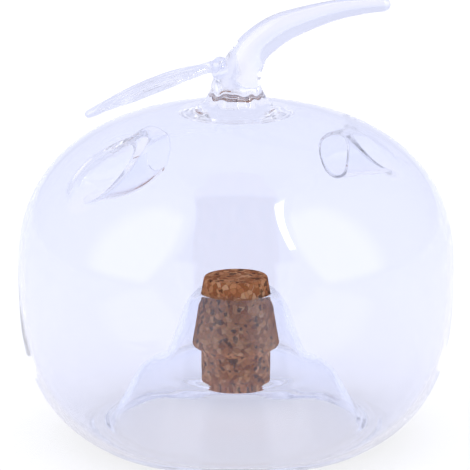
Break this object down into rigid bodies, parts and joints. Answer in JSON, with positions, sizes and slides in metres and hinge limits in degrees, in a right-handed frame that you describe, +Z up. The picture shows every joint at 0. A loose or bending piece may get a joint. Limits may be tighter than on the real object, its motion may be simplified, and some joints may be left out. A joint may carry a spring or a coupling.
{
  "type": "wasp trap",
  "caption": "Blown glass apple wasp trap: hollow bait body on a foot ring, entry funnels in the shoulder, curved stem with a leaf, cork stopper from below.",
  "frame": {"origin": "centre of the foot ring on the table plane", "axes": "+Z up along the turning axis of the apple; the stem leans towards +X and the leaf reaches towards -X; the front entry faces -X and -Y, 53.5 degrees round from -Y, and the rear one faces +X and +Y"},
  "size_m": [0.14, 0.14, 0.1433],
  "materials": {
    "clear_glass": "fire-polished clear borosilicate with a faint cold tint",
    "cork": "ground agglomerated cork, dry and matt"
  },
  "bodies": {
    "glass": {"body_shell": "clear_glass", "base_cone": "clear_glass", "entry_funnel_front": "clear_glass", "entry_funnel_rear": "clear_glass", "stem_root": "clear_glass", "stem": "clear_glass", "leaf_joint": "clear_glass", "leaf": "clear_glass"},
    "cork": {"cork_stopper": "cork"}
  },
  "joints": [
    {"name": "cork_pull", "type": "slide", "parent": "glass", "child": "cork", "axis": [0, 0, -1], "range_m": [0, 0.06]}
  ]
}
